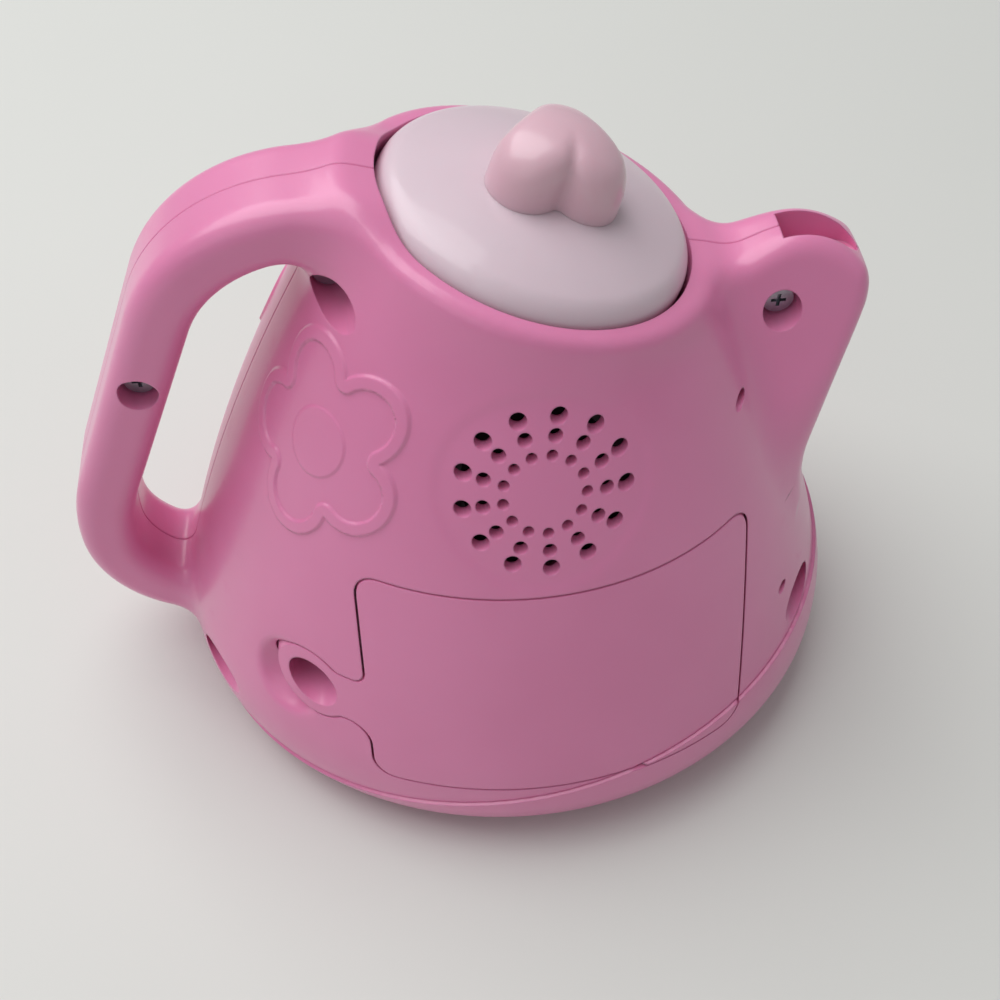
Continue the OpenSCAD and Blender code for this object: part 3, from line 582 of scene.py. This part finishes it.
mouth = bmesh.new()
rod(mouth, mouth_w / 2, (mouth_end - mouth_w / 2, 0, mouth_floor), (mouth_end - mouth_w / 2, 0, mouth_over))
carve(form, solid("mouth_end", mouth), "DIFFERENCE")
mouth = bmesh.new()
box(
    mouth, (mouth_end - mouth_l, -mouth_w / 2, mouth_floor),
    (mouth_end - mouth_w / 2, mouth_w / 2, mouth_over))
carve(form, solid("mouth", mouth), "DIFFERENCE")
bores = bmesh.new()
for x, z in screws:
    rod(bores, screw_r, (x, screw_seat - through, z), (x, screw_end, z), 16)
carve(form, solid("bores", bores), "DIFFERENCE")

# The rear shell's own holes: screw recesses, two small drain holes, the speaker grille and the
# door's opening.
rays = 13
rings = (13.7, 2.9), (10.35, 2.4), (7, 1.9)
grille_turn = math.radians(11)
grille_lean = math.radians(24)
drains = (38.8, 78.3, 1.2), (50.3, 37.4, 1.0)
drain_in, grille_in = -15, -25
rear_low, rear_high = (-120, -120, -20), (120, 0, 160)
rear = form
front = form.copy()
front.data = form.data.copy()
bpy.context.scene.collection.objects.link(front)
half = bmesh.new()
box(half, rear_low, rear_high)
half = solid("half", half)
carve(rear, half, "INTERSECT", keep_tool=True)
carve(front, half, "DIFFERENCE")
holes = bmesh.new()
for x, z in screws:
    rod(holes, recess_r, (x, screw_seat, z), (x, -past, z))
for x, z, r in drains:
    rod(holes, r, (x, drain_in, z), (x, -past, z), 24)
for r, d in rings:
    for i in range(rays):
        a = grille_turn + 2 * math.pi * i / rays
        x, z = grille[0] + r * math.sin(a), grille[1] + r * math.cos(a) * math.cos(grille_lean)
        rod(holes, d / 2, (x, grille_in, z), (x, -past, z), 28)
carve(rear, solid("holes", holes), "DIFFERENCE")

door_low, door_high = (-30.45, 20), (40.05, 62)
door_corner = 4
tab = (-40.45, 35.5)
tab_r = 6.3
neck = 4.5
neck_turns = 2.6, 4.2
door_gap = 0.4
door_near, door_far = -20, -80
slot_low, slot_high = (-2.4, 21.6, -1), (6.4, 26.4, 8)


def door_plan(grow, near, far):
    """The door's plan with its tab, as a prism along Y."""
    (x0, z0), (x1, z1) = ((low - grow for low in door_low), (high + grow for high in door_high))
    r, end_r, half_neck = door_corner + grow, tab_r + grow, neck + grow
    high_turn, low_turn = (turn - grow for turn in neck_turns)
    reach = math.sqrt((end_r + high_turn) ** 2 - (half_neck + high_turn) ** 2)
    swing = math.degrees(math.atan2(half_neck + high_turn, reach))
    bm, first = start_line(x0 + r, z0)
    point = line_to(bm, first, x1 - r, z0)
    for x, z, next_x, next_z in ((x1 - r, z0 + r, x1, z1 - r), (x1 - r, z1 - r, x0 + r, z1)):
        point = line_to(bm, arc_on(bm, point, (x, z), 90, 8), next_x, next_z)
    point = arc_on(bm, point, (x0 + r, z1 - r), 90, 8)
    upper, lower = tab[1] + half_neck, tab[1] - half_neck
    point = line_to(bm, point, x0, upper + high_turn)
    point = arc_on(bm, point, (x0 - high_turn, upper + high_turn), -90, 8)
    point = line_to(bm, point, tab[0] + reach, upper)
    point = arc_on(bm, point, (tab[0] + reach, upper + high_turn), swing - 90, 6)
    point = arc_on(bm, point, tab, 360 - 2 * swing, 40)
    point = arc_on(bm, point, (tab[0] + reach, lower - high_turn), swing - 90, 6)
    point = line_to(bm, point, x0 - low_turn, lower)
    point = arc_on(bm, point, (x0 - low_turn, lower - low_turn), -90, 10)
    point = line_to(bm, point, x0, z0 + r)
    arc_on(bm, point, (x0 + r, z0 + r), 90, 8)
    bmesh.ops.remove_doubles(bm, verts=bm.verts, dist=merge)
    face = bmesh.ops.edgeloop_fill(bm, edges=bm.edges[:])["faces"]
    bmesh.ops.translate(bm, vec=(0, near, 0), verts=bm.verts)
    moved = bmesh.ops.extrude_face_region(bm, geom=face)["geom"]
    moved = [part for part in moved if isinstance(part, bmesh.types.BMVert)]
    bmesh.ops.translate(bm, vec=(0, far - near, 0), verts=moved)
    close_up(bm)
    return bm


carve(rear, solid("doorway", door_plan(door_gap, door_near, door_far)), "DIFFERENCE")
slot = bmesh.new()
box(slot, slot_low, slot_high)
carve(front, solid("slot", slot), "DIFFERENCE")


class Value:
    """A socket that varies over a surface. Sums on it add Math nodes to its finish."""

    def __init__(self, finish, socket):
        self.finish = finish
        self.socket = socket

    def __add__(self, other):
        return self.finish.node("Math", {"operation": "ADD"}, {0: self, 1: other})

    def __mul__(self, other):
        return self.finish.node("Math", {"operation": "MULTIPLY"}, {0: self, 1: other})

    __radd__ = __add__
    __rmul__ = __mul__


class Finish:
    """A material. Its node method adds any node, settings first and then sockets."""

    def __init__(self, name, **constants):
        self.material = bpy.data.materials.new(name)
        self.material.use_nodes = True
        self.tree = self.material.node_tree
        self.shader = self.tree.nodes["Principled BSDF"]
        self.place = self.node("TexCoord", out="Object")
        for key, value in constants.items():
            self.shader.inputs[key.replace("_", " ")].default_value = value

    def node(self, kind, settings=None, sockets=None, out=0):
        new = self.tree.nodes.new("ShaderNode" + kind)
        for key, value in (settings or {}).items():
            setattr(new, key, value)
        for key, value in (sockets or {}).items():
            self.feed(new.inputs[key], value)
        return Value(self, new.outputs[out])

    def feed(self, socket, value):
        if isinstance(value, Value):
            self.tree.links.new(socket, value.socket)
        else:
            socket.default_value = value

    def noise(self, scale, detail=2, roughness=0.5):
        return self.node(
            "TexNoise", None,
            {"Vector": self.place, "Scale": scale, "Detail": detail, "Roughness": roughness})

    def between(self, value, low, high):
        return self.node("MapRange", {"interpolation_type": "SMOOTHSTEP"}, {0: value, 1: low, 2: high})

    def mix(self, share, first, second):
        return self.node("Mix", {"data_type": "RGBA"}, {0: share, 6: first, 7: second}, out=2)

    def colour(self, value):
        self.feed(self.shader.inputs["Base Color"], value)

    def rough(self, value):
        self.feed(self.shader.inputs["Roughness"], value)

    def bump(self, height, depth, edge=0):
        sockets = {"Strength": 1, "Distance": depth, "Height": height}
        if edge:
            sockets["Normal"] = self.node("Bevel", {"samples": 4}, {"Radius": edge})
        self.feed(self.shader.inputs["Normal"], self.node("Bump", None, sockets))


def paint(red, green, blue):
    """A colour given as it looks on a screen, from 0 to 255."""
    shares = (tone / 255 for tone in (red, green, blue))
    return (*(((share + 0.055) / 1.055) ** 2.4 for share in shares), 1)


def finish_piece(made, finish, body, slot_name, *nodes, sharp=38):
    """Closes slivers, brings a piece to metres, gives it its finish and sets it on its body."""
    sliver = 0.002
    bm = bmesh.new()
    bm.from_mesh(made.data)
    bmesh.ops.dissolve_degenerate(bm, edges=bm.edges, dist=sliver)
    bm.to_mesh(made.data)
    bm.free()
    made.data.transform(Matrix.Scale(MM, 4) @ Matrix.Translation((frame_x, 0, 0)))
    made.data.shade_smooth()
    made.data.set_sharp_from_angle(angle=math.radians(sharp))
    made.data.materials.clear()
    made.data.materials.append(finish.material)
    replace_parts(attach(made, body), *nodes)


pink = Finish(
    "shell_pink", Subsurface_Weight=0.12, Subsurface_Radius=(1.0, 0.35, 0.45), Subsurface_Scale=0.0015,
    Coat_Weight=0.25, Coat_Roughness=0.12)
cloudy = pink.noise(22, 3)
pink.colour(pink.mix(pink.between(cloudy, 0.35, 0.7), paint(231, 137, 182), paint(225, 130, 175)))
worn = pink.between(pink.noise(160, 4, 0.65), 0.55, 0.75)
pink.rough(0.27 + 0.08 * cloudy + 0.1 * worn)
pink.bump(pink.noise(1400, 1), 0.00001, edge=0.0004)
rear.name, front.name = "rear_half", "front_half"
finish_piece(rear, pink, "pot", "shell_pink", "rear_shell")
finish_piece(front, pink, "pot", "shell_pink", "front_shell")

# The battery door: a thin curved plate of the same pink plastic, flush with the rear wall.
# Its tab has a well for the screw that holds it.
door_t = 2.1
well_r = 4.3
well_d = 9
well_floor = 1.8
well_bore = 4
door_pot = pot_solid(0, 320, 3)
set_out_base(door_pot, pot_field)
bmesh.ops.recalc_face_normals(door_pot, faces=door_pot.faces)
door = solid("door_plate", door_pot)
carve(door, solid("door_in", pot_solid(-door_t, 128)), "DIFFERENCE")
carve(door, solid("door_plan", door_plan(0, door_near, door_far)), "INTERSECT")
tab_y = wall_point(*tab)[0][1] + well_d
well = bmesh.new()
rod(well, well_r + well_floor / 2, (tab[0], tab_y + well_floor, tab[1]), (tab[0], -past, tab[1]))
well = solid("well", well)
carve(well, solid("well_pot", pot_solid(-door_t / 2, 128)), "INTERSECT")
carve(door, well, "UNION")
well = bmesh.new()
rod(well, well_r, (tab[0], tab_y, tab[1]), (tab[0], -past, tab[1]), 64)
carve(door, solid("well_hole", well), "DIFFERENCE")
well = bmesh.new()
rod(well, screw_r, (tab[0], tab_y + well_bore, tab[1]), (tab[0], tab_y - through, tab[1]), 16)
carve(door, solid("well_bore", well), "DIFFERENCE")
finish_piece(door, pink, "door", "shell_pink", "battery_door")

# The lid: a low dome of pearly pale plastic that lets some light in, pressed like a button.
# It has a skirt inside the collar and a guide stem in the middle.
lid_dome = 9
lid_edge = 5
lid_skirt = 4
lid_wall = 2
stem_r = 4.6
stem_bottom = -10
peg_r = 2.83
peg_end = -3.1
dome_turn = (lid_dome ** 2 + (lid_r - lid_edge) ** 2 - lid_edge ** 2) / (2 * (lid_dome - lid_edge))
dome_c = (0, lid_dome - dome_turn)
edge_swing = math.degrees(math.asin((lid_r - lid_edge) / (dome_turn - lid_edge)))
peg_swing = math.degrees(math.asin(peg_r / dome_turn))
stem_swing = math.degrees(math.asin(stem_r / (dome_turn - lid_wall)))
edge_c = (lid_r - lid_edge, 0)
lid, point = start_line(peg_r, dome_c[1] + math.sqrt(dome_turn ** 2 - peg_r ** 2))
first = point
point = arc_on(lid, point, dome_c, peg_swing - edge_swing, 28)
point = arc_on(lid, point, edge_c, edge_swing - 90, 14)
point = line_to(lid, point, lid_r, -lid_skirt)
point = line_to(lid, point, lid_r - lid_wall, -lid_skirt)
point = line_to(lid, point, lid_r - lid_wall, 0)
point = arc_on(lid, point, edge_c, 90 - edge_swing, 10)
point = arc_on(lid, point, dome_c, edge_swing - stem_swing, 20)
for x, z in ((stem_r, stem_bottom), (screw_r, stem_bottom), (screw_r, peg_end), (peg_r, peg_end)):
    point = line_to(lid, point, x, z)
lid.edges.new((point, first))
turn_round(lid, 192)
bmesh.ops.transform(lid, matrix=lid_frame, verts=lid.verts)
pearl = Finish(
    "lid_pearl", Subsurface_Weight=0.35, Subsurface_Radius=(1.0, 0.7, 0.75), Subsurface_Scale=0.004,
    Coat_Weight=0.4, Coat_Roughness=0.1)
cloudy = pearl.noise(35, 2)
pearl.colour(pearl.mix(cloudy, paint(224, 202, 212), paint(217, 193, 204)))
pearl.rough(0.36 + 0.1 * pearl.noise(60, 3))
finish_piece(solid("lid_dome", lid), pearl, "lid_button", "lid_pearl", "lid")

# The knob: a heart-shaped grip of blush plastic with its cleft to the rear and a domed top.
# Its peg is pushed into the lid's stem and screwed from below.
lobe_r = 6.4
lobe_spread = 5
lobe_y = -4.2
point_y = 3.6
point_r = 5.2
cleft_root = 1.6
knob_low, knob_high = 4, 18
knob_dome = np.array([14.5, 14.5, 11.6])
knob_dome_c = np.array([0, -1, 8])
knob_edge = 3.4
knob_skin = 0.45
knob_play = 0.05
knob_peg_r, knob_peg_end = 2.8, -3


def lobe_field(p, side):
    """Distance outside one lobe's upright wall: a taper in plan from the lobe to the heart's point."""
    a, b = np.array([side * lobe_spread, lobe_y]), np.array([0, point_y])
    way = b - a
    length = math.hypot(*way)
    lean = (lobe_r - point_r) / length
    off = p[:, :2] - a
    along = off @ way / length
    across = np.abs(off[:, 0] * way[1] - off[:, 1] * way[0]) / length
    spot = np.clip(along + across * lean / math.sqrt(1 - lean * lean), 0, length)
    return np.hypot(along - spot, across) - (lobe_r - lean * spot)


def knob_field(p):
    """Distance outside the knob: heart-shaped walls under a dome."""
    walls = smooth_min(lobe_field(p, -1), lobe_field(p, 1), cleft_root)
    off = (p - knob_dome_c) / knob_dome
    reach = np.linalg.norm(off, axis=1)
    dome = reach * (reach - 1) / np.linalg.norm(off / knob_dome, axis=1)
    return np.maximum(smooth_max(walls, dome, knob_edge), knob_low - p[:, 2])


lobes = []
for side in (-1, 1):
    piece = bmesh.new()
    rod(piece, lobe_r, (side * lobe_spread, lobe_y, knob_low), (side * lobe_spread, lobe_y, knob_high), 32)
    rod(piece, point_r, (0, point_y, knob_low), (0, point_y, knob_high), 32)
    hull = bmesh.ops.convex_hull(piece, input=piece.verts[:])
    spare = set(hull["geom_interior"]) | set(hull["geom_unused"])
    bmesh.ops.delete(piece, geom=[v for v in spare if isinstance(v, bmesh.types.BMVert)], context="VERTS")
    keep = {part for part in hull["geom"] if isinstance(part, bmesh.types.BMFace)}
    bmesh.ops.delete(piece, geom=[f for f in piece.faces if f not in keep], context="FACES_ONLY")
    close_up(piece)
    lobes.append(solid("lobe", piece))
knob, other_lobe = lobes
carve(knob, other_lobe, "UNION")
even = knob.modifiers.new("skin", "REMESH")
even.mode = "VOXEL"
even.voxel_size = knob_skin
apply_modifiers(knob)
bm = bmesh.new()
bm.from_mesh(knob.data)
for _ in range(3):
    bmesh.ops.smooth_vert(bm, verts=bm.verts, factor=0.5, use_axis_x=True, use_axis_y=True, use_axis_z=True)
    press_on(bm.verts[:], knob_field, 2)
bm.to_mesh(knob.data)
bm.free()
dome_cut = bmesh.new()
bmesh.ops.create_uvsphere(
    dome_cut, u_segments=256, v_segments=128, radius=dome_turn + knob_play,
    matrix=Matrix.Translation((0, 0, dome_c[1])))
carve(knob, solid("dome_cut", dome_cut), "DIFFERENCE")
peg = bmesh.new()
rod(peg, knob_peg_r, (0, 0, knob_peg_end), (0, 0, lid_dome + through))
carve(knob, solid("peg", peg), "UNION")
knob.data.transform(lid_frame)
blush = Finish(
    "knob_blush", Subsurface_Weight=0.3, Subsurface_Radius=(1.0, 0.6, 0.65), Subsurface_Scale=0.003,
    Coat_Weight=0.4, Coat_Roughness=0.1)
cloudy = blush.noise(40, 2)
blush.colour(blush.mix(cloudy, paint(224, 184, 197), paint(218, 176, 190)))
blush.rough(0.3 + 0.1 * blush.noise(70, 3))
knob.name = "heart_knob"
finish_piece(knob, blush, "lid_button", "knob_blush", "lid_knob")


def finish_nodes(finish, *names):
    """Gives CAD nodes a finish."""
    for name in names:
        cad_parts[name].data.materials.clear()
        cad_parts[name].data.materials.append(finish.material)


# The screws and the washer: small zinc-plated steel fasteners, bright with dull patches.
# They hold the shells, the door, the board and the lid's stem, with their heads down recesses.
steel = Finish("screw_steel", Metallic=1.0)
patches = steel.noise(900, 3)
steel.colour(steel.mix(patches, paint(176, 178, 184), paint(132, 134, 142)))
steel.rough(0.28 + 0.25 * patches)
finish_nodes(steel, "lid_screw", "lid_washer", "door_screw", "shell_screws", "board_screws")

# The springs and battery contacts: nickel-plated wire, coiled, and strip, bent to shape.
# They sit in the battery box's ends.
spring = Finish("spring_steel", Metallic=1.0)
patches = spring.noise(700, 2)
spring.colour(spring.mix(patches, paint(205, 204, 198), paint(168, 166, 160)))
spring.rough(0.22 + 0.2 * patches)
finish_nodes(spring, "spring_contacts", "plate_contacts")

# The lid's return spring: a coil of the same wire round the lid's stem.
# It stands on the deck; its points are sorted along the lid's axis, lowest first.
coil_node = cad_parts["lid_spring"]
coil = bpy.data.objects.new("return_spring", coil_node.data.copy())
coil.data.transform(coil_node.matrix_world)
bpy.context.scene.collection.objects.link(coil)
coil.data.materials.clear()
coil.data.materials.append(spring.material)
ends = sorted((vert.co for vert in coil.data.vertices), key=lambda co: co.dot(Vector(lid_up)))
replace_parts(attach(coil, "pot"), "lid_spring")
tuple(ends[0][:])
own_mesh(coil)

# The deck and the switch bridge under the lid, and the power slider: plain white moulded plastic.
# The deck is held in the collar's groove between the two shells.
white = Finish("inner_white")
cloudy = white.noise(60, 3)
white.colour(white.mix(cloudy, paint(236, 234, 230), paint(224, 221, 216)))
white.rough(0.4 + 0.15 * cloudy)
finish_nodes(white, "lid_deck", "switch_bridge", "power_slider")

# The lights: three small lamps of milky resin, cast with a round top.
# They stand on the deck and shine through the lid.
lens = Finish("light_lens", Subsurface_Weight=0.5, Subsurface_Radius=(1.0, 0.9, 0.8), Subsurface_Scale=0.003)
lens.colour(lens.mix(lens.noise(300, 2), paint(246, 240, 224), paint(236, 228, 208)))
lens.rough(0.12 + 0.08 * lens.noise(200, 2))
finish_nodes(lens, "deck_lights")

# The switches: black moulded housings with a fine grain.
# One is under the lid's screw on the bridge, the other in the pot's floor.
black = Finish("switch_black")
grain = black.noise(1200, 2)
black.colour(black.mix(grain, paint(38, 38, 40), paint(52, 52, 55)))
black.rough(0.42 + 0.2 * grain)
finish_nodes(black, "lid_switch", "power_switch")

# The battery box: a moulded tray of blush plastic with a dull surface.
# It is fixed behind the door's opening and shows when the door is off.
tray = Finish("box_blush")
cloudy = tray.noise(40, 3)
tray.colour(tray.mix(cloudy, paint(232, 170, 194), paint(222, 158, 184)))
tray.rough(0.42 + 0.12 * cloudy)
finish_nodes(tray, "battery_box")

# The cells: three steel cans in a plain dark shrunk-on wrap, lightly scuffed.
# They lie in the box between the contacts.
wrap = Finish("cell_wrap", Coat_Weight=0.3, Coat_Roughness=0.2)
scuffed = wrap.noise(240, 4)
wrap.colour(wrap.mix(wrap.between(scuffed, 0.5, 0.8), paint(44, 46, 52), paint(74, 76, 82)))
wrap.rough(0.3 + 0.2 * scuffed)
finish_nodes(wrap, "battery_cells")

# The speaker: a stamped steel frame, a pressed black paper cone and a plated magnet.
# It sits behind the grille.
stamped = Finish("speaker_steel", Metallic=1.0)
patches = stamped.noise(500, 3)
stamped.colour(stamped.mix(patches, paint(120, 120, 124), paint(92, 92, 96)))
stamped.rough(0.4 + 0.2 * patches)
finish_nodes(stamped, "speaker_frame", "speaker_magnet")
cone = Finish("cone_paper")
fibre = cone.noise(1500, 4)
cone.colour(cone.mix(fibre, paint(22, 22, 24), paint(40, 39, 41)))
cone.rough(0.8 + 0.1 * fibre)
cone.bump(fibre, 0.00005)
finish_nodes(cone, "speaker_cone")

# The circuit board: green lacquered glass fibre, screwed inside the pot.
# Its sound chip is sealed under a drop of black resin.
board = Finish("board_green", Coat_Weight=0.3)
weave = board.noise(800, 2)
board.colour(board.mix(weave, paint(34, 94, 60), paint(26, 78, 50)))
board.rough(0.35 + 0.15 * weave)
finish_nodes(board, "circuit_board")
chip = Finish("chip_black")
pitted = chip.noise(900, 3)
chip.colour(chip.mix(pitted, paint(20, 20, 21), paint(34, 34, 35)))
chip.rough(0.3 + 0.25 * pitted)
finish_nodes(chip, "sound_chip")

# The table: a plain pale surface under the pot, a little cloudy.
# It is stage, not part of the object.
table_reach = 1500
table = bmesh.new()
bmesh.ops.create_grid(table, x_segments=1, y_segments=1, size=table_reach)
table = solid("table", table)
table.data.transform(Matrix.Scale(MM, 4))
pale = Finish("table_pale")
cloudy = pale.noise(5, 3)
pale.colour(pale.mix(cloudy, paint(222, 222, 218), paint(216, 216, 212)))
pale.rough(0.55 + 0.1 * cloudy)
table.data.materials.append(pale.material)


# The light: a broad soft lamp over the handle's side, a weaker one at the rear, and a pale room.
# Powers are in watts and places in metres.
def lamp(name, power, size, place, aim):
    """Adds a square soft lamp that faces a point. Places are in metres."""
    data = bpy.data.lights.new(name, "AREA")
    data.energy = power
    data.size = size
    made = bpy.data.objects.new(name, data)
    made.location = place
    made.rotation_euler = (Vector(aim) - Vector(place)).to_track_quat("-Z", "Y").to_euler()
    bpy.context.scene.collection.objects.link(made)


lamp("key", 13, 1.2, (-0.4, 0.3, 1.1), (0, 0, 0.05))
lamp("fill", 0.9, 0.8, (-0.5, -0.7, 0.7), (0, 0, 0.05))
room = bpy.data.worlds.new("room")
room.use_nodes = True
room.node_tree.nodes["Background"].inputs["Color"].default_value = (0.86, 0.9, 0.9, 1)
room.node_tree.nodes["Background"].inputs["Strength"].default_value = 0.34
bpy.context.scene.world = room
bpy.context.scene.view_settings.view_transform = "Standard"

# The camera: above the rear, with the handle at the left, as in the photograph.
# Its angles, range and focal length were fitted to points of the photograph.
view_turn, view_rise, view_roll = (math.radians(a) for a in (-6.24, 50.48, 0.09))
view_range = 0.27187
view_target = Vector((0.00826, 0, 0.03049))
focal_pixels = 1286.7
frame_pixels = 1000
sensor = 36
back = Vector((
    math.sin(view_turn) * math.cos(view_rise), -math.cos(view_turn) * math.cos(view_rise),
    math.sin(view_rise)))
across = Vector((math.cos(view_turn), math.sin(view_turn), 0))
upward = back.cross(across)
stand = Matrix((across, upward, back)).transposed() @ Matrix.Rotation(view_roll, 3, "Z")
camera = bpy.data.objects.new("camera", bpy.data.cameras.new("camera"))
camera.data.sensor_width = sensor
camera.data.lens = focal_pixels / frame_pixels * sensor
camera.matrix_world = Matrix.Translation(view_target + view_range * back) @ stand.to_4x4()
bpy.context.scene.collection.objects.link(camera)
bpy.context.scene.camera = camera
